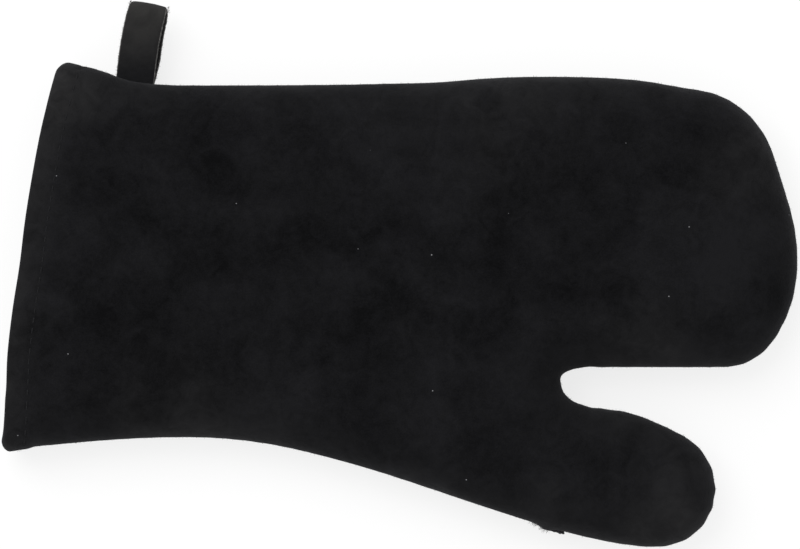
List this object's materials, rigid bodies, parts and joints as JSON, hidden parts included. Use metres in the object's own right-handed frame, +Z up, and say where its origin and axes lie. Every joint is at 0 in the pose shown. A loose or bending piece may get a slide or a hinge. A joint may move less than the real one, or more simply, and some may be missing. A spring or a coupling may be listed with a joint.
{
  "type": "oven mitt",
  "caption": "Split-leather oven mitt lying flat, with a thumb, a padded and lined hand pocket, a folded stitched cuff and a suede hanging loop that folds at the side seam.",
  "frame": {"origin": "on the table under the middle of the mitt's outline, loop included", "axes": "+X from the cuff to the fingertips, +Y to the side with the hanging loop (the thumb is on the other side), +Z up from the table to the back of the mitt"},
  "size_m": [0.3294, 0.2266, 0.036],
  "materials": {
    "suede": "black napped split leather, matt",
    "strap": "black split leather with raw cut edges",
    "wadding": "undyed cotton wadding",
    "lining": "charcoal cotton lining",
    "thread": "black sewing thread"
  },
  "bodies": {
    "mitt": {"back_suede": "suede", "palm_suede": "suede", "back_wadding": "wadding", "palm_wadding": "wadding", "back_lining": "lining", "palm_lining": "lining", "side_seam_thread": "thread", "lining_seam_thread": "thread", "back_hem_stitches": "thread", "palm_hem_stitches": "thread", "loop_ends": "strap"},
    "loop": {"hanging_loop": "strap"}
  },
  "joints": [
    {"name": "loop_fold", "type": "hinge", "parent": "mitt", "child": "loop", "pos_m": [-0.10831, 0.08226, 0.018], "axis": [0.9833, -0.1822, 0], "range_deg": [-90, 90], "stiffness_Nm_per_rad": 0.02}
  ]
}
